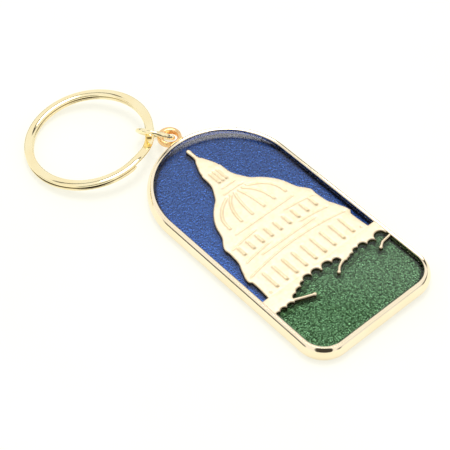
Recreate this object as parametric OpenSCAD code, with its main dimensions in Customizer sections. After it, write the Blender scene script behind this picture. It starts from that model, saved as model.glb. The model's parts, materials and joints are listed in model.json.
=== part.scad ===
// Keychain: an arched, enamelled souvenir fob on a jump ring and a split ring.
// Millimetres, +Z up. The fob lies face up with its back on Z = 0.
// Origin: the centre of the fob's arch, on the back face. +Y runs to the ear.

/* [Fob] */
// Width of the fob across its rim
fob_w = 30; // [30:0.2:32]
// Length from the centre of the arch down to the bottom edge
fob_drop = 40.6; // [39:0.2:44]
// Thickness of the fob
fob_t = 3.2; // [3:0.1:3.6]
// Outer radius of the two bottom corners
corner_r = 5.6; // [5:0.2:7]
// Width of the raised rim
rim_w = 1.3; // [1.1:0.1:1.5]
// Radius of the rounded outer edge
edge_r = 2.42; // [2.3:0.02:2.6]
// Thickness of the tray's floor
floor_t = 1.4; // [1.2:0.1:1.6]

/* [Ear] */
// Outer radius of the ear
ear_r = 2.35; // [2.2:0.05:2.5]
// Radius of the ear's hole
hole_r = 1.38; // [1.3:0.02:1.45]
// Thickness of the ear
ear_t = 1.3; // [1.1:0.1:1.4]

/* [Relief and enamel] */
// Depth of the relief's top below the rim
relief_drop = 0.15; // [0.05:0.05:0.3]
// Depth of the grooves in the relief
groove_d = 0.3; // [0.15:0.05:0.45]
// Depth of the enamel's surface below the rim
enamel_drop = 0.75; // [0.5:0.05:1]

/* [Rings] */
// Radius of the jump ring's centre line
jump_r = 3.4; // [3.36:0.01:3.44]
// Diameter of the jump ring's wire
jump_wire = 0.95; // [0.8:0.05:1]
// Outer diameter of the split ring
split_od = 25; // [24:0.2:25.4]
// Width of the split ring's band, seen from above
split_band = 1.7; // [1.6:0.05:2]
// Thickness of one coil of the split ring
coil_t = 0.84; // [0.78:0.02:0.9]

/* [Lie of the rings] */
// Heading of the jump ring, from +X
jump_heading = 123; // [122:1:125]
// Slope of the jump ring's plane
jump_slope = 52; // [51:1:54]
// Heading from the split ring's centre to the jump ring
split_heading = -38; // [-39:0.5:-37]
// Slope of the split ring, propped up by the jump ring
split_slope = 7.8; // [7.4:0.1:8]

/* [Hidden] */
$fn = 96;
eps = 0.01;
margin = 1;
rest_gap = 0.02;

gold = "#e8c77a";
blue = "#33508f";
green = "#2c6b4d";

edge_z = 1.45;
side_len = fob_drop - corner_r;
corner_x = fob_w / 2 - corner_r;
tray_r = fob_w / 2 - rim_w;
tray_corner = corner_r - rim_w;
relief_z = fob_t - relief_drop;
enamel_z = fob_t - enamel_drop;

hole_y = fob_w / 2 + hole_r + 0.02;
ear_y = hole_y + 0.25;
ear_z = 1.7;
neck_half = 2.1;
neck_flare = 0.9;
neck_foot_y = fob_w / 2 - 1.2;
neck_top_y = ear_y - 0.6;

// Relief of a domed building: half widths and heights up the fob.
spire_r = 0.48;
spire_y = 11.0;
spire_foot_y = 8.0;
lantern = [[0.48, 8.7], [1.4, 7.0], [2.1, 5.0], [2.4, 3.0], [2.5, 1.9], [3.3, 0.1], [4.4, -1.4]];
dome_arc_r = 11.82;
dome_arc_x = -2.32;
dome_arc_y = -11.23;
dome_y = -9.2;
tiers = [[9.5, -9.2], [10.75, -10.8], [10.8, -15.0], [11.9, -17.0], [12.5, -19.2], [12.1, -19.8]];
podium_y = -24.2;
podium_foot_y = -28.5;
enamel_split_y = podium_y - 0.4;

dome_groove_x = [1.45, 4.1, 6.7];
dome_groove_top = [0.35, -3.0];
dome_groove_foot_y = -8.1;
line_w = 0.3;
lines = [[7.5, -9.8], [9.6, -11.8], [10.4, -15.9], [11.0, -17.7], [2.6, -0.9]];
slot_w = 0.5;
pit_r = 0.34;

// Rows of upright grooves: how many, their pitch, and their foot and top.
lantern_slots = [3, 0.9, 2.2, 4.4];
windows = [9, 2.2, -14.3, -12.6];
column_gaps = [9, 2.34, -23.4, -19.4];

// Round heads of the bushes on the lawn's edge: x, top and radius.
bushes = [
    [-13.2, -27.6, 0.6], [-12.0, -27.4, 0.8], [-10.4, -27.45, 0.9], [-8.3, -26.6, 0.8],
    [-6.9, -26.05, 1.0], [-5.5, -25.5, 0.7], [-4.1, -24.85, 0.95], [-2.1, -24.85, 1.0],
    [0.4, -25.0, 1.15], [2.3, -25.6, 0.85], [3.5, -27.2, 0.7], [4.5, -27.1, 0.6],
    [5.4, -26.8, 0.7], [6.7, -26.3, 0.75], [8.2, -26.15, 0.95], [10.0, -26.8, 1.0],
    [12.3, -26.25, 1.25]
];
stalk_w = 0.5;
stalk_bend_r = 0.29;
stalk_knob_r = 0.36;
stalks = [
    [[-9.8, -27.2], [-7.6, -28.2], [-5.6, -29.0]],
    [[3.4, -26.8], [1.9, -27.5], [1.0, -28.3]],
    [[14.2, -28.3], [11.6, -28.6], [10.5, -29.3]]
];

jump_at = [-1.97, 18.39, jump_wire / 2 + jump_r * sin(jump_slope) + rest_gap];
jump_slit = 0.1;
jump_slit_angle = -110;

split_r = split_od / 2;
coil_overlap = 0.04;
split_h = 2 * coil_t - coil_overlap;
split_at = [-11.7, 26.4, split_h / 2 * cos(split_slope) + split_r * sin(split_slope) + rest_gap];
split_gap = 0.5;
top_gap_angle = -12;
bottom_gap_angle = -42;

// Half of the fob's cross-section out to its rounded edge.
module edge_section(reach) {
    intersection() {
        square([reach, fob_t]);
        union() {
            square([reach - edge_r, fob_t]);
            translate([reach - edge_r, edge_z]) circle(edge_r);
        }
    }
}

// The fob before its tray is cut: arch, straight sides, corners and bottom edge.
module fob_blank() {
    rotate_extrude(angle = 180) edge_section(fob_w / 2);
    rotate([90, 0, 0]) linear_extrude(side_len) {
        edge_section(fob_w / 2);
        mirror([1, 0]) edge_section(fob_w / 2);
    }
    for (side = [-1, 1])
        translate([side * corner_x, -side_len, 0]) rotate_extrude() edge_section(corner_r);
    translate([corner_x, -side_len, 0])
        rotate([90, 0, -90])
            linear_extrude(2 * corner_x) edge_section(corner_r);
}

// Outline of the tray inside the rim.
module tray_outline() {
    circle(tray_r);
    translate([-tray_r, -side_len]) square([2 * tray_r, side_len]);
    for (side = [-1, 1])
        translate([side * corner_x, -side_len]) circle(tray_corner);
    translate([-corner_x, -side_len - tray_corner]) square([2 * corner_x, tray_corner + eps]);
}

// Half widths and heights of the building, mirrored about its middle.
function both_sides(side) = concat(
    side, [for (i = [len(side) - 1 : -1 : 0]) [-side[i][0], side[i][1]]]
);

// Pointed dome between two mirrored arcs.
module dome_outline() {
    intersection() {
        translate([dome_arc_x, dome_arc_y]) circle(dome_arc_r);
        translate([-dome_arc_x, dome_arc_y]) circle(dome_arc_r);
        translate([-fob_w / 2, dome_y]) square([fob_w, -dome_y]);
    }
}

// The lawn below the building, its upper edge scalloped by round bushes.
module lawn_outline() {
    feet = [for (b = bushes) [b[0], b[1] - b[2]]];
    for (b = bushes)
        translate([b[0], b[1] - b[2]]) circle(b[2]);
    polygon(concat(
        [[-fob_w / 2, feet[0][1]]], feet, [[fob_w / 2, feet[len(feet) - 1][1]]],
        [[fob_w / 2, -fob_drop], [-fob_w / 2, -fob_drop]]
    ));
}

// A slim bent stalk that stands up from the lawn, with a knob at its free end.
module stalk_outline(route) {
    for (i = [1 : len(route) - 1]) {
        run = route[i] - route[i - 1];
        translate(route[i - 1]) rotate(atan2(run[1], run[0]))
            translate([0, -stalk_w / 2]) square([norm(run), stalk_w]);
        translate(route[i]) circle(i == len(route) - 1 ? stalk_knob_r : stalk_bend_r);
    }
}

// Everything that stands up as relief, cut off at the rim.
module relief_outline() {
    intersection() {
        tray_outline();
        union() {
            translate([0, spire_y]) circle(spire_r);
            translate([-spire_r, spire_foot_y]) square([2 * spire_r, spire_y - spire_foot_y]);
            polygon(both_sides(lantern));
            dome_outline();
            polygon(both_sides(concat(tiers, [[tiers[len(tiers) - 1][0], podium_y - eps]])));
            difference() {
                translate([-fob_w / 2, podium_foot_y]) square([fob_w, podium_y - podium_foot_y]);
                lawn_outline();
            }
            for (route = stalks)
                stalk_outline(route);
        }
    }
}

// A narrow groove with round ends and a round pit at its foot.
module slot_outline(low_y, high_y) {
    translate([-slot_w / 2, low_y]) square([slot_w, high_y - low_y]);
    translate([0, high_y]) circle(slot_w / 2);
    translate([0, low_y]) circle(pit_r);
}

// Groove of the dome, leaning in towards the lantern.
module dome_groove(x) {
    top = [x * dome_groove_top[0], dome_groove_top[1]];
    run = [x, dome_groove_foot_y] - top;
    translate([x, dome_groove_foot_y]) rotate(atan2(-run[1], -run[0]) - 90)
        slot_outline(0, norm(run));
}

// A centred row of upright grooves.
module slot_row(row) {
    for (i = [0 : row[0] - 1])
        translate([(i - (row[0] - 1) / 2) * row[1], 0]) slot_outline(row[2], row[3]);
}

// Recessed detail in the relief: lines and grooves.
module groove_outline() {
    for (x = dome_groove_x) {
        dome_groove(x);
        mirror([1, 0]) dome_groove(x);
    }
    for (l = lines)
        translate([-l[0], l[1] - line_w / 2]) square([2 * l[0], line_w]);
    for (row = [lantern_slots, windows, column_gaps])
        slot_row(row);
}

// Flat ear with its neck, before the hole.
module ear_blank() {
    translate([0, 0, ear_z]) linear_extrude(ear_t) {
        translate([0, ear_y]) circle(ear_r);
        polygon([
            [-neck_half - neck_flare, neck_foot_y],
            [neck_half + neck_flare, neck_foot_y],
            [neck_half, neck_top_y],
            [-neck_half, neck_top_y]
        ]);
    }
}

module fob_casting() {
    color(gold) difference() {
        union() {
            difference() {
                fob_blank();
                translate([0, 0, floor_t]) linear_extrude(fob_t) tray_outline();
            }
            translate([0, 0, floor_t - eps])
                linear_extrude(relief_z - floor_t + eps) relief_outline();
            ear_blank();
        }
        translate([0, 0, relief_z - groove_d]) linear_extrude(fob_t) groove_outline();
        translate([0, hole_y, 0]) cylinder(r = hole_r, h = fob_t);
    }
}

// Enamel fills the tray around the relief, on one side of the podium.
module enamel_fill(low_y, high_y) {
    translate([0, 0, floor_t]) linear_extrude(enamel_z - floor_t) difference() {
        intersection() {
            tray_outline();
            translate([-fob_w / 2, low_y]) square([fob_w, high_y - low_y]);
        }
        relief_outline();
    }
}

module blue_enamel() {
    color(blue) enamel_fill(enamel_split_y, fob_w / 2);
}

module green_enamel() {
    color(green) enamel_fill(-fob_drop, enamel_split_y);
}

// Round wire ring with a butt joint.
module jump_ring() {
    color(gold) translate(jump_at) rotate([jump_slope, 0, jump_heading]) difference() {
        rotate_extrude() translate([jump_r, 0]) circle(d = jump_wire);
        rotate([0, 0, jump_slit_angle])
            translate([jump_r - jump_wire, -jump_slit / 2, -jump_wire])
                cube([2 * jump_wire, jump_slit, 2 * jump_wire]);
    }
}

// Section of one coil: a flat band with round edges.
module coil_section(z) {
    inner_x = split_r - split_band + coil_t / 2;
    outer_x = split_r - coil_t / 2;
    translate([inner_x, z - coil_t / 2]) square([outer_x - inner_x, coil_t]);
    for (x = [inner_x, outer_x])
        translate([x, z]) circle(d = coil_t);
}

// Gap where a coil of the split ring ends, cut through that coil only.
module coil_gap(angle, low_z) {
    rotate([0, 0, angle])
        translate([split_r - split_band - margin, -split_gap / 2, low_z])
            cube([split_band + 2 * margin, split_gap, coil_t]);
}

module split_ring() {
    coil_z = (split_h - coil_t) / 2;
    color(gold) translate(split_at) rotate([0, -split_slope, split_heading]) difference() {
        rotate_extrude() {
            coil_section(coil_z);
            coil_section(-coil_z);
        }
        coil_gap(top_gap_angle, eps);
        coil_gap(bottom_gap_angle, -coil_t - eps);
    }
}

fob_casting();
blue_enamel();
green_enamel();
jump_ring();
split_ring();
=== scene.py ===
"""Looks of an enamelled souvenir keychain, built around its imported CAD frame.

Shapes are worked out in millimetres in the CAD frame and scaled to metres as they are made.
"""
import json
import math

import bmesh
import bpy
import numpy as np
from mathutils import Matrix, Vector


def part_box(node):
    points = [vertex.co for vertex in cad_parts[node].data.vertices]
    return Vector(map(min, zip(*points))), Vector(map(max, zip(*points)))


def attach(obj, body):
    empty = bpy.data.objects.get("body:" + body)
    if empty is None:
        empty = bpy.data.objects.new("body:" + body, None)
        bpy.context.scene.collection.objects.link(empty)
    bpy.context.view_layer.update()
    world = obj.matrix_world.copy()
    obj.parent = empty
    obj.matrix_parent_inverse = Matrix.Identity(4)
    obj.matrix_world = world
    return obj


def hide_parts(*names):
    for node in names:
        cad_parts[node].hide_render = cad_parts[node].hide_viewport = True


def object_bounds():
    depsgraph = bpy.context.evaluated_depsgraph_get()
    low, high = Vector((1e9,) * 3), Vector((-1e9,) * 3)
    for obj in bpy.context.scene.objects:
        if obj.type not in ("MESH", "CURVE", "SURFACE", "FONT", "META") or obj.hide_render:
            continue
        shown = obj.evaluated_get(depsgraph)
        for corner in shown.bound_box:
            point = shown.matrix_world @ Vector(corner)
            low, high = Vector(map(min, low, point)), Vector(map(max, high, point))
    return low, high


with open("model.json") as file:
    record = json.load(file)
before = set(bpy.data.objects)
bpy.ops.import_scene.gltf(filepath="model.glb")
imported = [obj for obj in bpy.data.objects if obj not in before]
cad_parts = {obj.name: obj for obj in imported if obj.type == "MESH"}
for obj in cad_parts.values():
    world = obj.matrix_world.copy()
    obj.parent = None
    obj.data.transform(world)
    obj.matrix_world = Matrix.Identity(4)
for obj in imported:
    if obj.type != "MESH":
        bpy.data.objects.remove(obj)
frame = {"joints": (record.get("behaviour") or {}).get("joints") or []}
cad_low, cad_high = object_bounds()

MM = 0.001


def box_mm(node):
    """Lowest and highest corner of a CAD node, in millimetres."""
    low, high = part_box(node)
    return np.array(low) / MM, np.array(high) / MM


def joint_mm(name):
    """Position of a CAD joint, in millimetres."""
    joint = next(j for j in frame["joints"] if j["name"] == name)
    return np.array(joint["pos_m"]) / MM


# Fob, from the CAD boxes: half width, thickness, reach below the arch's centre, the tray's half
# width, the rim's width, the tray's floor and the enamel's top.
fob_low, fob_high = box_mm("fob_casting")
blue_low, blue_high = box_mm("blue_enamel")
HALF_W = fob_high[0]
FOB_T = fob_high[2]
DROP = -fob_low[1]
TRAY_HALF = blue_high[0]
RIM_W = HALF_W - TRAY_HALF
FLOOR_Z = blue_low[2]
ENAMEL_Z = blue_high[2]

# The fob's bottom corners in plan, and the bull nose of its edge with its centre's height.
CORNER_R = 5.6
EDGE_R = 2.42
EDGE_Z = 1.45

# Heights inside the tray: the stippled ground under the enamel, and the relief's face.
GROUND_Z = FLOOR_Z + 0.45
RELIEF_Z = FOB_T - 0.15

# Undersides of the relief, the ground and the enamel, all hidden inside the casting.
RELIEF_BASE_Z = FLOOR_Z - 0.6
GROUND_BASE_Z = FLOOR_Z - 0.7
ENAMEL_BASE_Z = FLOOR_Z - 0.65

# Grid steps of the meshes, and the lowest and highest y that the relief's grid covers.
RELIEF_STEP = 0.1
ENAMEL_STEP = 0.14
EAR_STEP = 0.08
RELIEF_LOW_Y = -30.2
RELIEF_HIGH_Y = 12.0

# Ear, from the hinge that runs through its hole, with its neck and the rounding of its edges.
ear_pin = joint_mm("jump_ring_swivel")
EAR_Y = ear_pin[1] + 0.25
EAR_R = fob_high[1] - EAR_Y
EAR_HOLE_R = 1.38
EAR_T = 1.3
NECK_HALF = 1.75
EAR_EDGE_R = 0.46

# One side of the domed building, from its tip down to the podium: half widths and heights.
SIDE = (
    (0.0, 11.55), (0.4, 11.4), (0.46, 11.0), (0.36, 9.6), (0.46, 8.6), (0.9, 8.1), (1.42, 6.9),
    (2.05, 5.5), (2.1, 4.9), (2.35, 4.6), (2.36, 3.1), (2.5, 1.9), (2.9, 0.9), (3.5, -0.1),
    (4.05, -1.0), (4.4, -1.5), (5.5, -2.3), (6.6, -3.4), (7.7, -4.8), (8.5, -6.3), (8.95, -7.9),
    (9.35, -9.0), (10.1, -9.9), (10.75, -10.9), (10.85, -11.6), (10.7, -12.1), (10.8, -13.6),
    (10.95, -15.2), (11.6, -16.4), (12.0, -17.5), (12.35, -18.2), (12.6, -19.3), (12.4, -19.8),
    (12.05, -20.0), (12.1, -22.0), (12.3, -24.0), (12.3, -24.6),
)
PODIUM_Y = -24.2
PODIUM_FOOT_Y = -28.5

# Round heads of the bushes on the lawn's edge: x, top and radius.
BUSHES = (
    (-13.2, -27.6, 0.6), (-12.0, -27.4, 0.8), (-10.4, -27.45, 0.9), (-8.3, -26.6, 0.8),
    (-6.9, -26.05, 1.0), (-5.5, -25.5, 0.7), (-4.1, -24.85, 0.95), (-2.1, -24.85, 1.0),
    (0.4, -25.0, 1.15), (2.3, -25.6, 0.85), (3.5, -27.2, 0.7), (4.5, -27.1, 0.6),
    (5.4, -26.8, 0.7), (6.7, -26.3, 0.75), (8.2, -26.15, 0.95), (10.0, -26.8, 1.0),
    (12.3, -26.25, 1.25),
)

# Stalks on the lawn: root, bend and free end.
STALKS = (
    ((-9.8, -27.2), (-7.6, -28.2), (-5.6, -29.0)),
    ((3.4, -26.8), (1.9, -27.5), (1.0, -28.3)),
    ((14.2, -28.3), (11.6, -28.6), (10.5, -29.3)),
)
STALK_R = 0.25
KNOB_R = 0.36

# Grooves in the building's face: depth, and half widths of the upright and the dome's ones.
GROOVE_DEPTH = 0.15
GROOVE_HALF = 0.34
RIB_GROOVE_HALF = 0.3

# The two pools are parted under the podium. Each has a lower and an upper limit in y, and the
# outer two lie well past the tray's ends.
SPLIT_Y = PODIUM_Y - 0.4
SKY_SPAN = (SPLIT_Y, 20.0)
LAWN_SPAN = (-50.0, SPLIT_Y)

# How far each enamel climbs the rim's wall, and over what width.
SKY_CLIMB = (0.4, 2.1)
LAWN_CLIMB = (0.15, 0.7)

# It climbs that far only where the arch faces this heading, in degrees anticlockwise from +X, and
# by this share of it where it climbs least.
LEAN_HEADING = 63
LEAST_CLIMB = 0.15

# How far enamel and ground run into the walls round them, and the ground's dip along the rim.
ENAMEL_BURY = 0.06
GROUND_BURY = 0.2
MOAT_DEPTH = 0.12

# Stipple of each ground: grid step, pitch and height of its pebbles, sharpness of its specks, seed.
SKY_STIPPLE = (0.095, 0.38, 0.04, 1.0, 7)
LAWN_STIPPLE = (0.085, 0.40, 0.07, 2.0, 11)

# Jump ring: radii of its wire and its centre line, slope and heading, gap of its butt joint and
# where round the ring that lies. Angles are in degrees.
JUMP_WIRE_R = 0.475
JUMP_R = 3.4
JUMP_SLOPE = 52
JUMP_HEADING = 123
JUMP_GAP = 1.6
JUMP_JOINT = -110

# Split ring: outer radius, width of its flat wire, thickness of one coil, heading and slope.
SPLIT_R = 12.5
SPLIT_BAND = 1.7
COIL_T = 0.82
SPLIT_HEADING = -38
SPLIT_SLOPE = 7.8

# Where round the split ring the wire steps from one coil to the other, and how far each coil
# runs round, the step included, in degrees.
STEP_START = -12.0
STEP_END = -42.0
COIL_TURN = 358.0

# Section of a coil: the share of its thickness that the wire fills, the power that squares it,
# and the share of a half that its inner face loses where the coils stand fully apart.
COIL_FILL = 0.97
COIL_SQUARE = 0.86
COIL_SINK = 0.42

# Places where the two coils stand apart: middle and width in degrees, and by how much, 0 to 1.
COIL_OPENINGS = ((-140, 30, 1.0), (-86, 13, 0.8), (90, 14, 0.3), (155, 13, 0.3))

# Lamp: azimuth and elevation in degrees, distance and size in metres, watts.
LAMP_AZIMUTH = 138
LAMP_ELEVATION = 74
LAMP_DISTANCE = 0.7
LAMP_SIZE = 0.36
LAMP_POWER = 1.8

# Studio: elevation of the thin dark flag on the lamp's side, and the dark stand's direction.
FLAG_ELEVATION = 55
STAND_AT = (-40, 16)
STUDIO_WHITE = (1.0, 1.0, 1.0)
STUDIO_DARK = (0.06, 0.055, 0.05)
BACKDROP = (1.0, 1.0, 0.97)

# Camera: direction in degrees, distance and aim off the part's centre in metres, angle of view.
CAMERA_AZIMUTH = -41.8
CAMERA_ELEVATION = 50.1
CAMERA_DISTANCE = 0.2733
CAMERA_AIM = (-0.0023, -0.0061, -0.0003)
CAMERA_ANGLE = 16.92

# Gilding: the two colours it drifts between, its least and most roughness, its painted shade.
RIM_GOLD = ((0.99, 0.87, 0.66), (0.97, 0.84, 0.60), 0.05, 0.13, (0.10, 0.075, 0.05))
EAR_GOLD = ((0.90, 0.60, 0.29), (0.86, 0.54, 0.25), 0.2, 0.3, (0.95, 0.56, 0.24))
RING_GOLD = ((0.98, 0.88, 0.58), (0.97, 0.83, 0.50), 0.04, 0.10, (0.16, 0.10, 0.03))

# Satin relief: its face, its grooves, and painted shade in its pits and on its walls above the
# enamel.
RELIEF_LIGHT = (0.83, 0.72, 0.54)
RELIEF_HOLLOW = (0.83, 0.71, 0.49)
RELIEF_CLOUD = (0.97, 0.94, 0.88)
RELIEF_SHADE = (0.13, 0.085, 0.04)

# Ground under each enamel: tops of its pebbles, painted shade in the gaps, painted shade at walls.
SKY_METAL = ((1.0, 0.88, 0.62), (0.78, 0.68, 0.48))
LAWN_METAL = ((1.0, 0.97, 0.84), (0.24, 0.22, 0.16))
GROUND_SHADE = (0.10, 0.07, 0.04)

# Enamel: the colour it lets through and how densely it is dyed.
BLUE_GLASS = ((0.03, 0.35, 0.76), 3050.0)
GREEN_GLASS = ((0.40, 0.65, 0.48), 2700.0)
ENAMEL_IOR = 1.48

# Floor: half its side in metres, its two shades, and the colour and strength of its own glow.
FLOOR_HALF = 4.0
FLOOR_LIGHT = (0.37, 0.37, 0.36)
FLOOR_SHADE = (0.35, 0.35, 0.34)
FLOOR_GLOW = (1.0, 0.99, 0.87, 1)
FLOOR_GLOW_STRENGTH = 0.64


# ---------------------------------------------------------------- flat shapes
# Each returns how far a point lies inside the shape: positive inside, in millimetres.

def disc(p, x, y, radius):
    return radius - np.hypot(p[:, 0] - x, p[:, 1] - y)


def bar(p, x0, x1, y0, y1):
    qx = np.abs(p[:, 0] - (x0 + x1) / 2) - (x1 - x0) / 2
    qy = np.abs(p[:, 1] - (y0 + y1) / 2) - (y1 - y0) / 2
    outside = np.hypot(np.maximum(qx, 0), np.maximum(qy, 0))
    return -(outside + np.minimum(np.maximum(qx, qy), 0))


def tapered_bar(p, start, end, r0, r1):
    """A rod with round ends, r0 in radius at its start and r1 at its end."""
    a = np.array(start, float)
    run = np.array(end, float) - a
    t = np.clip((p - a) @ run / (run @ run), 0, 1)
    away = p - a - t[:, None] * run
    return r0 + (r1 - r0) * t - np.hypot(away[:, 0], away[:, 1])


def outline(p, inset=0.0):
    """The fob's arched outline with round bottom corners, moved inwards by inset."""
    x = np.abs(p[:, 0])
    y = p[:, 1]
    qx = x - (HALF_W - CORNER_R)
    qy = -y - (DROP - CORNER_R)
    straight = np.minimum(HALF_W - x, y + DROP)
    corner = np.where((qx > 0) & (qy > 0), CORNER_R - np.hypot(qx, qy), straight)
    arch = HALF_W - np.hypot(x, y)
    return np.where(y > 0, arch, corner) - inset


def smooth_max(a, b, width):
    """Union of two shapes with a fillet of about that width between them."""
    h = np.clip(0.5 + 0.5 * (a - b) / width, 0, 1)
    return b + (a - b) * h + width * h * (1 - h)


def soften(points, passes):
    """Rounds a line's corners by cutting them, its ends kept."""
    for _ in range(passes):
        a = points[:-1]
        b = points[1:]
        cut = np.empty((2 * len(a), 2))
        cut[0::2] = 0.75 * a + 0.25 * b
        cut[1::2] = 0.25 * a + 0.75 * b
        points = np.concatenate([points[:1], cut, points[-1:]])
    return points


def polygon(p, corners):
    """A closed outline of any shape."""
    x, y = p[:, 0], p[:, 1]
    nearest = np.full(len(p), np.inf)
    inside = np.zeros(len(p), bool)
    for (ax, ay), (bx, by) in zip(corners, np.roll(corners, -1, 0)):
        run_x, run_y = bx - ax, by - ay
        span = max(run_x * run_x + run_y * run_y, 1e-12)
        t = np.clip(((x - ax) * run_x + (y - ay) * run_y) / span, 0, 1)
        nearest = np.minimum(nearest, (x - ax - t * run_x) ** 2 + (y - ay - t * run_y) ** 2)
        if ay != by:
            crosses = (ay > y) != (by > y)
            inside ^= crosses & (x < ax + (y - ay) * run_x / run_y)
    return np.where(inside, 1, -1) * np.sqrt(nearest)


def building(p):
    """The domed building, the same on both sides of its middle."""
    side = soften(np.array(SIDE), 2)
    return polygon(p, np.concatenate([side, side[::-1] * (-1, 1)]))


def lawn(p):
    """The lawn below the building, its upper edge scalloped by round bushes."""
    feet = [(x, top - radius) for x, top, radius in BUSHES]
    edge = [(-HALF_W, feet[0][1])] + feet + [(HALF_W, feet[-1][1])]
    ground = polygon(p, np.array(edge + [(HALF_W, -DROP), (-HALF_W, -DROP)]))
    heads = [disc(p, x, top - radius, radius) for x, top, radius in BUSHES]
    return np.maximum.reduce([ground] + heads)


def stalks(p):
    """Slim bent stalks that stand up from the lawn, with a knob at their free ends."""
    rods = []
    for root, bend, tip in STALKS:
        rods.append(tapered_bar(p, root, bend, STALK_R, STALK_R))
        rods.append(tapered_bar(p, bend, tip, STALK_R, STALK_R))
        rods.append(disc(p, tip[0], tip[1], KNOB_R))
    return np.maximum.reduce(rods)


def relief(p):
    """The whole raised building, with its podium above the bushes and the stalks."""
    podium = np.minimum(bar(p, -HALF_W, HALF_W, PODIUM_FOOT_Y, PODIUM_Y), -lawn(p))
    return np.maximum.reduce([smooth_max(building(p), podium, 0.12), stalks(p)])


# ------------------------------------------------------------- surface levels

def step_up(x, edge0, edge1):
    t = np.clip((x - edge0) / (edge1 - edge0), 0, 1)
    return t * t * (3 - 2 * t)


def shoulder(d, radius):
    """Drop of a rounded edge at a distance d inside it."""
    t = np.clip(1 - d / radius, 0, 1)
    return radius * (1 - np.sqrt(1 - t * t))


def rod_depth(p, start, end, half, fade=0.16):
    """A soft-edged groove along a straight line, from 0 outside to 1 along its middle."""
    return step_up(tapered_bar(p, start, end, half, half), -fade, half)


def groove_row(p, count, pitch, low_y, high_y):
    """A centred row of upright grooves, each with a deeper pit at its foot."""
    x = p[:, 0] / pitch + (count - 1) / 2
    nearest = np.clip(np.round(x), 0, count - 1)
    local = np.column_stack([(x - nearest) * pitch, p[:, 1]])
    groove = rod_depth(local, (0, low_y + 0.1), (0, high_y), GROOVE_HALF)
    groove = groove + 0.25 * rod_depth(local, (0, low_y + 0.1), (0, high_y), 0.3, 0.6)
    pit = np.exp(-((local[:, 0] / 0.26) ** 2 + ((p[:, 1] - low_y) / 0.2) ** 2))
    return groove + 0.9 * pit


def dome_grooves(p):
    """Six grooves between the ribs of the dome, curving out from the lantern to its foot."""
    grooves = []
    steps = np.linspace(0, 1, 7)
    for foot_x, belly_x in ((1.45, 1.25), (4.1, 3.9), (6.85, 7.1)):
        top = np.array((foot_x * 0.36, -2.5))
        belly = np.array((belly_x, -4.4))
        foot = np.array((foot_x, -8.3))
        curve = [(1 - t) ** 2 * top + 2 * t * (1 - t) * belly + t * t * foot for t in steps]
        mirrored = np.column_stack([np.abs(p[:, 0]), p[:, 1]])
        rods = [rod_depth(mirrored, a, b, RIB_GROOVE_HALF) for a, b in zip(curve[:-1], curve[1:])]
        pit = np.hypot(mirrored[:, 0] - foot[0], p[:, 1] - foot[1])
        grooves += rods + [1.6 * np.exp(-(pit / 0.24) ** 2)]
    return np.maximum.reduce(grooves)


def cornice_lines(p):
    """Lines under the cornices: straight in front, drooping towards the sides of the drum."""
    x = np.abs(p[:, 0])
    depth = np.zeros(len(p))
    rows = (
        (0.0, 7.5, -10.0, 0.0), (3.6, 10.3, -11.4, 1.0), (3.6, 10.4, -15.2, 1.0),
        (0.0, 7.0, -16.5, 0.0), (0.0, 12.0, -17.8, 1.3), (0.0, 2.0, -0.1, 0.0),
        (0.0, 2.7, -1.4, 0.2),
    )
    for start, end, y, droop in rows:
        away = np.abs(p[:, 1] - y + droop * (x / end) ** 2)
        fade = step_up(x, start - 0.6, start + 0.6) if start else 1.0
        depth = np.maximum(depth, np.exp(-(away / 0.2) ** 2) * fade * step_up(-x, -end, 0.7 - end))
    return depth


def building_depth(p):
    """How far the building's face lies below its top, from its grooves and lines."""
    rows = [
        groove_row(p, 9, 2.2, -14.5, -12.6), groove_row(p, 9, 2.34, -23.5, -19.9),
        groove_row(p, 3, 0.85, 1.3, 3.9), dome_grooves(p),
    ]
    depth = GROOVE_DEPTH * np.maximum.reduce(rows)
    pit = np.hypot(np.abs(p[:, 0]) - 11.15, p[:, 1] + 23.7)
    depth = depth + GROOVE_DEPTH * np.exp(-(pit / 0.24) ** 2)
    return np.maximum(depth, 0.75 * GROOVE_DEPTH * cornice_lines(p))


def lean(p):
    """Where the enamel stands high against the rim: 1 at the arch's upper right, fading to 0."""
    away = np.arctan2(np.maximum(p[:, 1], 0), p[:, 0]) - math.radians(LEAN_HEADING)
    return np.clip(np.cos(away), 0, 1) ** 3


def pebbles(p, pitch, seed):
    """Rounded random stipple, from 0 in the gaps to 1 on the tops."""
    repeat = 64
    table = np.random.RandomState(seed).rand(repeat, repeat, 3)
    cell = np.floor(p / pitch).astype(int)
    best = np.full(len(p), 9.0)
    lift = np.zeros(len(p))
    for dx in (-1, 0, 1):
        for dy in (-1, 0, 1):
            c = cell + (dx, dy)
            jitter = table[c[:, 0] % repeat, c[:, 1] % repeat]
            away = p / pitch - (c + 0.15 + 0.7 * jitter[:, :2])
            r2 = (away ** 2).sum(1)
            nearer = r2 < best
            best = np.where(nearer, r2, best)
            lift = np.where(nearer, jitter[:, 2], lift)
    return np.clip(1 - best / 0.5, 0, 1) * (0.6 + 0.4 * lift)


# ----------------------------------------------------------------- mesh tools

def add_piece(name, verts, faces, body, nodes, material, sharp=40):
    """Makes a mesh piece from millimetre points and hangs it on the frame."""
    mesh = bpy.data.meshes.new(name)
    mesh.from_pydata((np.asarray(verts, float) * MM).tolist(), [], faces)
    mesh.validate()
    piece = bpy.data.objects.new(name, mesh)
    bpy.context.scene.collection.objects.link(piece)
    return finish_piece(piece, body, nodes, material, sharp)


def finish_piece(piece, body, nodes, material, sharp):
    mesh = piece.data
    mesh.shade_smooth()
    mesh.set_sharp_from_angle(angle=math.radians(sharp))
    mesh.materials.append(material)
    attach(piece, body)
    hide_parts(*nodes)
    return piece


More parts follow.
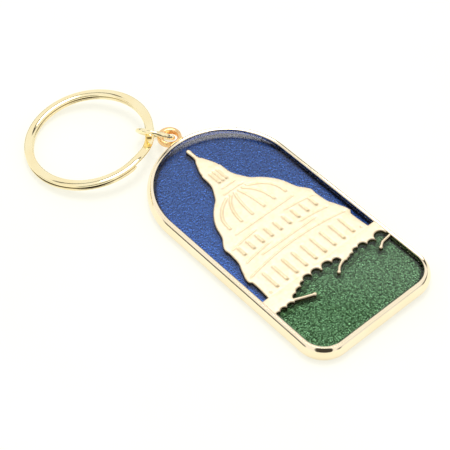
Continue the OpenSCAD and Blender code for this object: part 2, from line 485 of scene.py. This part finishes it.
def cut_grid(shape, low, high, step):
    """A square grid trimmed to a shape, its edge points moved onto the shape's outline."""
    nx, ny = (int(math.ceil((high[i] - low[i]) / step)) + 1 for i in (0, 1))
    xs = low[0] + step * np.arange(nx)
    ys = low[1] + step * np.arange(ny)
    points = np.stack(np.meshgrid(xs, ys, indexing="ij"), -1).reshape(-1, 2)
    corner = (np.arange(nx - 1)[:, None] * ny + np.arange(ny - 1)[None, :]).ravel()
    cells = np.stack([corner, corner + ny, corner + ny + 1, corner + 1], 1)
    inside = shape(points) > 0.3 * step
    cells = cells[inside[cells].any(1)]
    used = np.unique(cells)
    edge = used[~inside[used]]
    nudge = 0.02
    for _ in range(5):
        p = points[edge]
        d = shape(p)
        gx = (shape(p + (nudge, 0)) - shape(p - (nudge, 0))) / (2 * nudge)
        gy = (shape(p + (0, nudge)) - shape(p - (0, nudge))) / (2 * nudge)
        size = np.maximum(gx * gx + gy * gy, 0.25)
        points[edge] = p - np.column_stack([gx, gy]) * (d / size)[:, None]
    rename = np.full(len(points), -1)
    rename[used] = np.arange(len(used))
    return points[used], rename[cells]


def plate(name, points, faces, heights, base_z, body, nodes, material, sharp,
          shade_z=None):
    """A closed plate: a top of given heights, walls down from its edge, and a flat underside.

    The attribute "wall", with which the relief paints shade down its walls, is 0 on the top and 1
    just under the walls' upper edge. It stays 1 down to the given shade height and is 0 below it;
    with none given it fades towards the underside.
    """
    verts = np.column_stack([points, heights]) * MM
    mesh = bpy.data.meshes.new(name)
    mesh.from_pydata(verts.tolist(), [], faces.tolist())
    bm = bmesh.new()
    bm.from_mesh(mesh)
    wall = bm.verts.layers.float.new("wall")
    lip = 0.04 * MM
    levels = [(None, 1.0)]
    if shade_z is not None:
        levels += [(shade_z, 1.0), (shade_z - 0.1, 0.0)]
    levels.append((base_z, 0.0))
    for level, shade_value in levels:
        rim = [e for e in bm.edges if e.is_boundary]
        for item in bmesh.ops.extrude_edge_only(bm, edges=rim)["geom"]:
            if isinstance(item, bmesh.types.BMVert):
                item.co.z = item.co.z - lip if level is None else level * MM
                item[wall] = shade_value
    rim = [e for e in bm.edges if e.is_boundary]
    bmesh.ops.holes_fill(bm, edges=rim, sides=0)
    bmesh.ops.recalc_face_normals(bm, faces=bm.faces)
    bm.to_mesh(mesh)
    bm.free()
    piece = bpy.data.objects.new(name, mesh)
    bpy.context.scene.collection.objects.link(piece)
    return finish_piece(piece, body, nodes, material, sharp)


def mark(piece, name, values):
    """Stores one value for each of a piece's first points; any points after them get 0."""
    layer = piece.data.attributes.new(name, "FLOAT", "POINT")
    padded = np.zeros(len(piece.data.vertices), np.float32)
    padded[:len(values)] = values
    layer.data.foreach_set("value", padded)


def sweep(rings):
    """Points and faces that join a list of equal rings, with a flat face at each end."""
    count = len(rings)
    size = len(rings[0])
    faces = []
    for i in range(count - 1):
        a = i * size
        b = a + size
        for k in range(size):
            n = (k + 1) % size
            faces.append((a + k, b + k, b + n, a + n))
    faces.append(tuple(range(size)))
    faces.append(tuple(reversed(range((count - 1) * size, count * size))))
    return np.concatenate(rings), faces


# ------------------------------------------------------------------ materials

def node_tree(name):
    material = bpy.data.materials.new(name)
    material.use_nodes = True
    tree = material.node_tree
    shader = tree.nodes["Principled BSDF"]
    place = tree.nodes.new("ShaderNodeTexCoord")
    return material, tree, shader, place.outputs["Object"]


def noise(tree, place, size_mm, detail=3.0, stretch=(1, 1, 1)):
    """A noise pattern whose grains are about size_mm across."""
    spread = tree.nodes.new("ShaderNodeMapping")
    spread.inputs["Scale"].default_value = stretch
    tree.links.new(place, spread.inputs["Vector"])
    grain = tree.nodes.new("ShaderNodeTexNoise")
    grain.inputs["Scale"].default_value = 1 / (size_mm * MM)
    grain.inputs["Detail"].default_value = detail
    tree.links.new(spread.outputs["Vector"], grain.inputs["Vector"])
    return grain.outputs["Fac"]


def ramp(tree, value, low, high, out_low, out_high):
    """Maps a value's range onto another."""
    change = tree.nodes.new("ShaderNodeMapRange")
    change.inputs["From Min"].default_value = low
    change.inputs["From Max"].default_value = high
    change.inputs["To Min"].default_value = out_low
    change.inputs["To Max"].default_value = out_high
    tree.links.new(value, change.inputs["Value"])
    return change.outputs["Result"]


def tint(tree, value, colour_a, colour_b):
    """Blends two colours by a value."""
    mix = tree.nodes.new("ShaderNodeMix")
    mix.data_type = "RGBA"
    mix.inputs["A"].default_value = (*colour_a, 1)
    mix.inputs["B"].default_value = (*colour_b, 1)
    tree.links.new(value, mix.inputs["Factor"])
    return mix.outputs["Result"]


def bump(tree, height, depth_mm, strength=1.0, under=None):
    raised = tree.nodes.new("ShaderNodeBump")
    raised.inputs["Strength"].default_value = strength
    raised.inputs["Distance"].default_value = depth_mm * MM
    tree.links.new(height, raised.inputs["Height"])
    if under is not None:
        tree.links.new(under, raised.inputs["Normal"])
    return raised.outputs["Normal"]


def attribute(tree, name):
    value = tree.nodes.new("ShaderNodeAttribute")
    value.attribute_name = name
    return value.outputs["Fac"]


def both(tree, a, b, operation="MULTIPLY"):
    """Joins two values by a sum, a product or the like."""
    join = tree.nodes.new("ShaderNodeMath")
    join.operation = operation
    tree.links.new(a, join.inputs[0])
    tree.links.new(b, join.inputs[1])
    return join.outputs[0]


def layered(tree, under, factor, over, blend="MIX"):
    """Lays a plain colour over a colour that comes from other nodes."""
    mix = tree.nodes.new("ShaderNodeMix")
    mix.data_type = "RGBA"
    mix.blend_type = blend
    mix.inputs["B"].default_value = (*over, 1)
    tree.links.new(under, mix.inputs["A"])
    tree.links.new(factor, mix.inputs["Factor"])
    return mix.outputs["Result"]


def polished_gold(name, light, dark, rough_low, rough_high, shade_colour):
    """Bright plating: slow colour drift, painted shade where marked, smudges in the polish, fine
    hairline scratches.
    """
    material, tree, shader, place = node_tree(name)
    shader.inputs["Metallic"].default_value = 1.0
    drift = ramp(tree, noise(tree, place, 6.0), 0.35, 0.65, 0, 1)
    colour = tint(tree, drift, light, dark)
    # Painted shade in nooks and between parts, wherever a piece marks it.
    colour = layered(tree, colour, attribute(tree, "painted_shade"), shade_colour)
    tree.links.new(colour, shader.inputs["Base Color"])
    smudge = ramp(tree, noise(tree, place, 2.5, 5.0), 0.35, 0.7, rough_low, rough_high)
    tree.links.new(smudge, shader.inputs["Roughness"])
    hairline = noise(tree, place, 0.35, 2.0, (0.15, 1, 1))
    ripple = noise(tree, place, 1.8, 2.0)
    normal = bump(tree, ripple, 0.012, 0.35)
    normal = bump(tree, hairline, 0.0016, 0.25, normal)
    tree.links.new(normal, shader.inputs["Normal"])
    return material


def satin_relief():
    """Blasted relief: cream where it stands up, warmer in its grooves, painted shade in its pits
    and down its walls.
    """
    material, tree, shader, place = node_tree("satin_relief")
    shader.inputs["Metallic"].default_value = 1.0
    hollow = ramp(tree, attribute(tree, "hollow"), 0.1, 0.9, 0, 1)
    colour = tint(tree, hollow, RELIEF_LIGHT, RELIEF_HOLLOW)
    cloud = ramp(tree, noise(tree, place, 1.2, 4.0), 0.4, 0.7, 0, 1)
    colour = layered(tree, colour, cloud, RELIEF_CLOUD, "MULTIPLY")
    # Painted shade in the pits at the grooves' feet and down the walls.
    pit = ramp(tree, attribute(tree, "hollow"), 1.0, 1.7, 0, 0.5)
    colour = layered(tree, colour, pit, RELIEF_SHADE)
    colour = layered(tree, colour, attribute(tree, "wall"), RELIEF_SHADE)
    tree.links.new(colour, shader.inputs["Base Color"])
    rough = ramp(tree, noise(tree, place, 0.6), 0.3, 0.7, 0.5, 0.62)
    tree.links.new(rough, shader.inputs["Roughness"])
    blasted = bump(tree, noise(tree, place, 0.16, 2.0), 0.012, 0.5)
    tree.links.new(blasted, shader.inputs["Normal"])
    return material


def stippled_ground(name, top, gap):
    """The pebbled metal under the enamel, with painted shade between its pebbles and along the
    walls.
    """
    material, tree, shader, place = node_tree(name)
    shader.inputs["Metallic"].default_value = 1.0
    drift = ramp(tree, noise(tree, place, 1.5, 4.0), 0.3, 0.7, 0.88, 1.0)
    # Painted shade: the gaps' colour between pebbles, and a dark colour along the walls.
    colour = tint(tree, both(tree, attribute(tree, "speck"), drift), gap, top)
    colour = layered(tree, colour, attribute(tree, "ground_shade"), GROUND_SHADE)
    tree.links.new(colour, shader.inputs["Base Color"])
    rough = ramp(tree, noise(tree, place, 0.5), 0.3, 0.7, 0.22, 0.34)
    tree.links.new(rough, shader.inputs["Roughness"])
    pitted = bump(tree, noise(tree, place, 0.2, 2.0), 0.02, 0.5)
    tree.links.new(pitted, shader.inputs["Normal"])
    return material


def enamel(name, absorb, density):
    """Clear coloured enamel, duller where it climbs: it takes up light on its way through."""
    material, tree, shader, place = node_tree(name)
    shader.inputs["Base Color"].default_value = (1, 1, 1, 1)
    shader.inputs["Transmission Weight"].default_value = 1.0
    shader.inputs["IOR"].default_value = ENAMEL_IOR
    gloss = ramp(tree, noise(tree, place, 3.0, 4.0), 0.35, 0.75, 0.02, 0.06)
    haze = ramp(tree, attribute(tree, "climb"), 0.0, 0.3, 0.0, 0.16)
    tree.links.new(both(tree, gloss, haze, "ADD"), shader.inputs["Roughness"])
    wave = bump(tree, noise(tree, place, 2.2, 2.0), 0.03, 0.05)
    tree.links.new(wave, shader.inputs["Normal"])
    soak = tree.nodes.new("ShaderNodeVolumeAbsorption")
    soak.inputs["Color"].default_value = (*absorb, 1)
    soak.inputs["Density"].default_value = density
    output = tree.nodes["Material Output"]
    tree.links.new(soak.outputs["Volume"], output.inputs["Volume"])
    return material


# ------------------------------------------------------------------ the fob

def arc_points(x, y, radius, degrees):
    """Points round an arc, each with its outward direction."""
    turns = [(math.cos(a), math.sin(a)) for a in np.radians(degrees)]
    return [(x + radius * c, y + radius * s, c, s) for c, s in turns]


def rim_path():
    """Points and outward directions round the fob's outline, anticlockwise."""
    straight = DROP - CORNER_R
    inner_x = HALF_W - CORNER_R
    path = arc_points(0, 0, HALF_W, np.linspace(0, 180, 97))
    path += [(-HALF_W, -straight * t, -1, 0) for t in np.linspace(0, 1, 19)[1:]]
    path += arc_points(-inner_x, -straight, CORNER_R, np.linspace(180, 270, 25)[1:])
    path += [(-inner_x + 2 * inner_x * t, -DROP, 0, -1) for t in np.linspace(0, 1, 11)[1:]]
    path += arc_points(inner_x, -straight, CORNER_R, np.linspace(270, 360, 25)[1:])
    path += [(HALF_W, -straight * t, 1, 0) for t in np.linspace(1, 0, 19)[1:-1]]
    return np.array(path)


def rim_profile():
    """Inset and height round the fob's edge: tray wall, top land, bull nose and back."""
    start = math.acos((FOB_T - EDGE_Z) / EDGE_R)
    end = math.acos(-EDGE_Z / EDGE_R)
    turns = np.linspace(start, end, 15)
    nose = [(EDGE_R * (1 - math.sin(a)), EDGE_Z + EDGE_R * math.cos(a)) for a in turns]
    low_wall = [(RIM_W, FLOOR_Z - 0.3), (RIM_W, FLOOR_Z + 0.5)]
    wall = low_wall + [(RIM_W, ENAMEL_Z + rise) for rise in (-0.15, 0.0, 0.15, 0.3, 0.45, 0.55)]
    top = [(RIM_W - 0.08, FOB_T - 0.1), (RIM_W - 0.3, FOB_T - 0.02), (RIM_W - 0.5, FOB_T)]
    back = [(nose[-1][0] + 0.15, 0.0), (1.2, 0.0), (2.0, 0.0)]
    return soften(np.array(wall + top + nose + back), 2)


def make_rim(material):
    """Rim, side wall and flat back of the casting.

    The wall gets painted shade in a band just above the enamel, except where the enamel climbs.
    """
    path = rim_path()
    profile = rim_profile()
    rings = []
    for x, y, nx, ny in path:
        ring = np.column_stack([x - nx * profile[:, 0], y - ny * profile[:, 0], profile[:, 1]])
        rings.append(ring)
    size = len(profile)
    count = len(rings)
    faces = []
    for i in range(count):
        a = i * size
        b = (i + 1) % count * size
        for k in range(size - 1):
            faces.append((a + k, a + k + 1, b + k + 1, b + k))
    faces.append(tuple(i * size + size - 1 for i in reversed(range(count))))
    faces.append(tuple(i * size for i in range(count)))
    piece = add_piece("fob_rim_and_back", np.concatenate(rings), faces, "fob", ["fob_casting"],
                      material)
    half_band = 0.19
    on_wall = profile[:, 0] > RIM_W - 0.36
    bare = on_wall & (np.abs(profile[:, 1] - ENAMEL_Z - half_band) < half_band)
    shade_share = 1 - step_up(lean(path[:, :2]), 0.1, 0.5)
    # Painted shade on the wall's band above the enamel, faded out where the enamel climbs.
    mark(piece, "painted_shade", np.outer(shade_share, bare).ravel())
    return piece


def ear_shape(p):
    """Ear and neck in plan, filleted into the rim, less the hole and what lies inside the rim."""
    reach = 4.4
    head = disc(p, 0, EAR_Y, EAR_R)
    neck = bar(p, -NECK_HALF, NECK_HALF, HALF_W - 0.9, EAR_Y)
    rim = disc(p, 0, 0, HALF_W - 0.75)
    solid = smooth_max(np.maximum(head, neck), rim, 0.5)
    hole = -disc(p, 0, ear_pin[1], EAR_HOLE_R)
    near = np.minimum(np.minimum(reach - np.abs(p[:, 0]), p[:, 1]), -disc(p, 0, 0, HALF_W - 1.05))
    return np.minimum(np.minimum(solid, hole), near)


def make_ear(material):
    """Ear plate with well rounded edges, run into the side of the rim."""
    points, faces = cut_grid(ear_shape, (-4.6, HALF_W - 2.4), (4.6, HALF_W + 4.2), EAR_STEP)
    d = np.maximum(ear_shape(points), 0)
    level = EAR_T / 2 - shoulder(d, EAR_EDGE_R)
    mid = ear_pin[2]
    top = np.column_stack([points, mid + level])
    low = np.column_stack([points, mid - level])
    count = len(points)
    flipped = faces[:, ::-1] + count
    directed = np.concatenate([faces[:, [k, (k + 1) % 4]] for k in range(4)])
    known = set(map(tuple, directed.tolist()))
    wall = [(b, a, a + count, b + count) for a, b in known if (b, a) not in known]
    all_faces = faces.tolist() + flipped.tolist() + sorted(wall)
    verts = np.concatenate([top, low])
    piece = add_piece("fob_ear", verts, all_faces, "fob", ["fob_casting"], material, 50)
    from_hole = np.hypot(points[:, 0], points[:, 1] - ear_pin[1]) - EAR_HOLE_R
    # Painted shade, a deeper orange, on the hole's wall and round its edge.
    mark(piece, "painted_shade", np.tile(1 - step_up(from_hole, 0.0, 0.35), 2))
    return piece


def make_relief(material):
    """The domed building as soft-edged relief, its face a little fuller away from its edges."""
    def shape(p):
        return np.minimum(relief(p), outline(p, RIM_W - 0.1))
    low = (-TRAY_HALF - 0.3, RELIEF_LOW_Y)
    high = (TRAY_HALF + 0.3, RELIEF_HIGH_Y)
    points, faces = cut_grid(shape, low, high, RELIEF_STEP)
    d = np.maximum(relief(points), 0)
    hollow = building_depth(points) * step_up(d, 0.1, 0.5)
    pillow = 0.10 * np.exp(-d / 0.45)
    heights = RELIEF_Z - shoulder(d, 0.2) - pillow - hollow
    # Its walls get painted shade from their top down to just under the enamel.
    piece = plate("building_relief", points, faces, heights, RELIEF_BASE_Z, "fob",
                  ["fob_casting"], material, 50, ENAMEL_Z - 0.05)
    # hollow tints the grooves warmer and, at the pits, gives painted shade.
    mark(piece, "hollow", hollow / GROOVE_DEPTH)
    return piece


def pool(p):
    """Distance from the walls that stand round the enamel: those of the rim and of the relief."""
    return np.minimum(outline(p, RIM_W), -relief(p))


def pool_part(low_y, high_y, bury):
    """Shape of the pool between two limits, its edge run into the walls by bury."""
    def shape(p):
        side = np.minimum(p[:, 1] - low_y, high_y - p[:, 1])
        return np.minimum(pool(p) + bury, side)
    return shape


def make_ground(name, span, stipple, material):
    """Pebbled floor of one pool: smooth at its walls and under high enamel, sunk at the rim."""
    low_y, high_y = span
    step, pitch, height, sharpness, seed = stipple
    low = (-TRAY_HALF - 0.4, max(low_y, RIM_W - DROP - 0.4))
    high = (TRAY_HALF + 0.4, min(high_y, TRAY_HALF + 0.4))
    points, faces = cut_grid(pool_part(low_y, high_y, GROUND_BURY), low, high, step)
    d = np.maximum(pool(points), 0)
    rim_d = np.maximum(outline(points, RIM_W), 0)
    plain = lean(points) * (1 - step_up(rim_d, 0.8, 2.4))
    grain = pebbles(points, pitch, seed) * step_up(d, 0.25, 0.9) * (1 - plain) + 0.5 * plain
    heights = GROUND_Z + height * grain - MOAT_DEPTH * (1 - step_up(rim_d, 0.0, 0.5))
    piece = plate(name, points, faces, heights, GROUND_BASE_Z, "fob", ["fob_casting"],
                  material, 60)
    # speck: how far each point takes the pebble tops' colour over the painted shade in the gaps.
    mark(piece, "speck", grain ** sharpness)
    # Painted shade along the rim, except where the enamel climbs, and at the relief's foot.
    by_rim = (1 - step_up(rim_d, 0.0, 0.42)) * (1 - lean(points))
    by_relief = 0.6 * (1 - step_up(-relief(points), 0.0, 0.14))
    mark(piece, "ground_shade", np.maximum(by_rim, by_relief))
    return piece


def make_enamel(name, node, span, climb, material):
    """A pool of enamel that climbs the wall of the rim, marked "climb" where it does."""
    low_y, high_y = span
    low = (-TRAY_HALF - 0.3, max(low_y, -DROP))
    high = (TRAY_HALF + 0.3, min(high_y, TRAY_HALF + 0.3))
    points, faces = cut_grid(pool_part(low_y, high_y, ENAMEL_BURY), low, high, ENAMEL_STEP)
    rise, width = climb
    rim_d = np.maximum(outline(points, RIM_W), 0)
    swell = np.clip(1 - rim_d / width, 0, 1)
    share = LEAST_CLIMB + (1 - LEAST_CLIMB) * lean(points)
    heights = ENAMEL_Z + rise * share * swell ** 2
    piece = plate(name, points, faces, heights, ENAMEL_BASE_Z, "fob", [node], material, 35)
    mark(piece, "climb", lean(points) * swell)
    return piece


# ------------------------------------------------------------------ the rings

def make_jump_ring(material):
    """Round wire bent to a ring, with its two sawn ends butted together."""
    low, high = box_mm("jump_ring")
    centre = (low + high) / 2
    heading = Matrix.Rotation(math.radians(JUMP_HEADING), 3, "Z")
    turn = heading @ Matrix.Rotation(math.radians(JUMP_SLOPE), 3, "X")
    gap = math.radians(JUMP_GAP)
    joint = math.radians(JUMP_JOINT)
    rings = []
    steps = 144
    for i in range(steps + 1):
        a = joint + gap / 2 + (2 * math.pi - gap) * i / steps
        end = min(i, steps - i)
        r = JUMP_WIRE_R * (0.86 if end == 0 else 0.97 if end == 1 else 1.0)
        ring = []
        for b in np.linspace(0, 2 * math.pi, 25)[:-1]:
            reach = JUMP_R + r * math.cos(b)
            point = (reach * math.cos(a), reach * math.sin(a), r * math.sin(b))
            ring.append(turn @ Vector(point))
        rings.append(np.array(ring) + centre)
    verts, faces = sweep(rings)
    return add_piece("jump_ring_wire", verts, faces, "link", ["jump_ring"],
                     material)


def coil_section(half_w, half_t, power):
    """Section of the split ring's flat wire: an oval at a power of 1, squarer below it."""
    points = []
    for a in np.linspace(0, 2 * math.pi, 33)[:-1]:
        c = math.cos(a)
        s = math.sin(a)
        x = math.copysign(abs(c) ** power, c) * half_w
        z = math.copysign(abs(s) ** power, s) * half_t
        points.append((x, z))
    return points


def coil_opening(angle):
    """How far the two coils stand apart at an angle round the split ring, from 0 to 1."""
    bumps = []
    for middle, width, size in COIL_OPENINGS:
        t = ((angle - middle + 180) % 360 - 180) / width
        bumps.append(size * math.exp(-t * t))
    return min(1.0, sum(bumps))


def make_split_ring(material):
    """Flat wire wound twice round, stepping from the lower coil to the upper one.

    The faces with which the coils look at each other are sunk where the coils stand apart, and
    get painted shade except near the step, where they come into the open.
    """
    low, high = box_mm("split_ring")
    centre = (low + high) / 2
    heading = Matrix.Rotation(math.radians(SPLIT_HEADING), 3, "Z")
    turn = heading @ Matrix.Rotation(math.radians(-SPLIT_SLOPE), 3, "Y")
    step_middle = (STEP_START + STEP_END) / 2
    start = STEP_END + COIL_TURN
    end = -COIL_TURN + STEP_START
    half_t = COIL_T / 2
    radius = SPLIT_R - SPLIT_BAND / 2
    section = coil_section(SPLIT_BAND / 2, half_t * COIL_FILL, COIL_SQUARE)
    rings = []
    facing = []
    count = 420
    for i in range(count + 1):
        a = start + (end - start) * i / count
        rise = step_up(STEP_START - a, 0.0, STEP_START - STEP_END)
        z = (rise - 0.5) * COIL_T
        last = min(i, count - i)
        pinch = 0.8 if last == 0 else 0.95 if last == 1 else 1.0
        opening = coil_opening(a)
        covered = min(1.0, max(0.0, (abs(a - step_middle) - 20.0) / 12.0))
        angle = math.radians(a)
        ring = []
        for x, t in section:
            reach = radius + x * pinch
            inward = -2 * (rise - 0.5) * t / half_t
            sunk = t * (1 - COIL_SINK * opening * max(inward, 0))
            point = (reach * math.cos(angle), reach * math.sin(angle), z + sunk * pinch)
            ring.append(turn @ Vector(point))
            # Painted shade on the faces that look at the other coil, reaching further where the
            # coils stand apart.
            shade = step_up(inward, 0.6 - 0.3 * opening, 0.9 - 0.35 * opening)
            facing.append(shade * covered)
        rings.append(np.array(ring) + centre)
    verts, faces = sweep(rings)
    piece = add_piece("split_ring_coils", verts, faces, "key_ring", ["split_ring"],
                      material)
    mark(piece, "painted_shade", np.array(facing))
    return piece


# ------------------------------------------------------------- floor and light

def make_stage():
    """A large plain pale floor that glows, so that shadows on it stay pale."""
    mesh = bpy.data.meshes.new("floor")
    corners = [(x * FLOOR_HALF, y * FLOOR_HALF, 0) for x, y in ((-1, -1), (1, -1), (1, 1), (-1, 1))]
    mesh.from_pydata(corners, [], [(0, 1, 2, 3)])
    floor = bpy.data.objects.new("floor", mesh)
    bpy.context.scene.collection.objects.link(floor)
    material, tree, shader, place = node_tree("pale_floor")
    grain = ramp(tree, noise(tree, place, 40.0, 2.0), 0.3, 0.7, 0, 1)
    tree.links.new(tint(tree, grain, FLOOR_LIGHT, FLOOR_SHADE), shader.inputs["Base Color"])
    shader.inputs["Emission Color"].default_value = FLOOR_GLOW
    shader.inputs["Emission Strength"].default_value = FLOOR_GLOW_STRENGTH
    shader.inputs["Roughness"].default_value = 0.7
    shader.inputs["Specular IOR Level"].default_value = 0.2
    mesh.materials.append(material)


def arc_band(tree, value, middle, half, soft):
    """1 within a band round a middle value, 0 beyond its soft edges."""
    away = tree.nodes.new("ShaderNodeMath")
    away.operation = "SUBTRACT"
    tree.links.new(value, away.inputs[0])
    away.inputs[1].default_value = middle
    size = tree.nodes.new("ShaderNodeMath")
    size.operation = "ABSOLUTE"
    tree.links.new(away.outputs[0], size.inputs[0])
    return ramp(tree, size.outputs[0], half, half + soft, 1, 0)


def towards(tree, place, azimuth, elevation):
    """How closely a direction points to a place in the studio: 1 straight at it."""
    facing = tree.nodes.new("ShaderNodeVectorMath")
    facing.operation = "DOT_PRODUCT"
    tree.links.new(place, facing.inputs[0])
    facing.inputs[1].default_value = heading_vector(azimuth, elevation)
    return facing.outputs["Value"]


def make_world():
    """White studio all round, with a flag, a stand and low gaps, all dark, for metal to mirror."""
    world = bpy.data.worlds.new("studio")
    bpy.context.scene.world = world
    world.use_nodes = True
    tree = world.node_tree
    background = tree.nodes["Background"]
    place = tree.nodes.new("ShaderNodeTexCoord").outputs["Generated"]
    parts = tree.nodes.new("ShaderNodeSeparateXYZ")
    tree.links.new(place, parts.inputs["Vector"])
    height = parts.outputs["Z"]
    gaps = tree.nodes.new("ShaderNodeTexNoise")
    gaps.inputs["Scale"].default_value = 1.6
    gaps.inputs["Detail"].default_value = 0.0
    tree.links.new(place, gaps.inputs["Vector"])
    patchy = ramp(tree, gaps.outputs["Fac"], 0.42, 0.5, 0, 1)
    low_gaps = both(tree, patchy, ramp(tree, height, 0.12, 0.2, 1, 0))
    behind = ramp(tree, towards(tree, place, LAMP_AZIMUTH, 0), 0.05, 0.4, 0, 1)
    flag_height = math.sin(math.radians(FLAG_ELEVATION))
    flag = both(tree, arc_band(tree, height, flag_height, 0.02, 0.015), behind)
    stand = ramp(tree, towards(tree, place, *STAND_AT), 0.88, 0.90, 0, 1)
    dark = both(tree, both(tree, low_gaps, flag, "MAXIMUM"), stand, "MAXIMUM")
    seen = tint(tree, dark, STUDIO_WHITE, STUDIO_DARK)
    rays = tree.nodes.new("ShaderNodeLightPath")
    plain = layered(tree, seen, rays.outputs["Is Camera Ray"], BACKDROP)
    tree.links.new(plain, background.inputs["Color"])
    background.inputs["Strength"].default_value = 1.0


def heading_vector(azimuth, elevation):
    """Direction of an azimuth, anticlockwise from -Y seen from above, and an elevation."""
    a = math.radians(azimuth)
    e = math.radians(elevation)
    return Vector((math.sin(a) * math.cos(e), -math.cos(a) * math.cos(e), math.sin(e)))


def add_light(name, azimuth, elevation, distance, size, power):
    """A soft round light aimed at the object."""
    light = bpy.data.lights.new(name, "AREA")
    light.shape = "DISK"
    light.size = size
    light.energy = power
    lamp = bpy.data.objects.new(name, light)
    lamp.location = heading_vector(azimuth, elevation) * distance
    lamp.rotation_euler = lamp.location.to_track_quat("Z", "Y").to_euler()
    bpy.context.scene.collection.objects.link(lamp)


def make_camera():
    """The view from the near left corner of the fob, looking steeply down."""
    centre = (cad_low + cad_high) / 2
    aim = centre + Vector(CAMERA_AIM)
    away = heading_vector(CAMERA_AZIMUTH, CAMERA_ELEVATION)
    data = bpy.data.cameras.new("camera")
    data.sensor_fit = "HORIZONTAL"
    data.angle = math.radians(CAMERA_ANGLE)
    data.clip_start = 0.01
    data.clip_end = 50
    camera = bpy.data.objects.new("camera", data)
    camera.location = aim + away * CAMERA_DISTANCE
    camera.rotation_euler = away.to_track_quat("Z", "Y").to_euler()
    bpy.context.scene.collection.objects.link(camera)
    bpy.context.scene.camera = camera


def main():
    make_camera()
    make_stage()
    make_world()
    add_light("overhead", LAMP_AZIMUTH, LAMP_ELEVATION, LAMP_DISTANCE, LAMP_SIZE, LAMP_POWER)
    bpy.context.scene.view_settings.view_transform = "Standard"
    rim_gold = polished_gold("rim_gold", *RIM_GOLD)
    ear_gold = polished_gold("ear_gold", *EAR_GOLD)
    ring_gold = polished_gold("ring_gold", *RING_GOLD)
    make_rim(rim_gold)
    make_ear(ear_gold)
    make_relief(satin_relief())
    sky_metal = stippled_ground("sky_ground_metal", *SKY_METAL)
    lawn_metal = stippled_ground("lawn_ground_metal", *LAWN_METAL)
    make_ground("sky_ground", SKY_SPAN, SKY_STIPPLE, sky_metal)
    make_ground("lawn_ground", LAWN_SPAN, LAWN_STIPPLE, lawn_metal)
    blue = enamel("blue_enamel_glass", *BLUE_GLASS)
    green = enamel("green_enamel_glass", *GREEN_GLASS)
    make_enamel("sky_enamel", "blue_enamel", SKY_SPAN, SKY_CLIMB, blue)
    make_enamel("lawn_enamel", "green_enamel", LAWN_SPAN, LAWN_CLIMB, green)
    make_jump_ring(ring_gold)
    make_split_ring(ring_gold)


main()
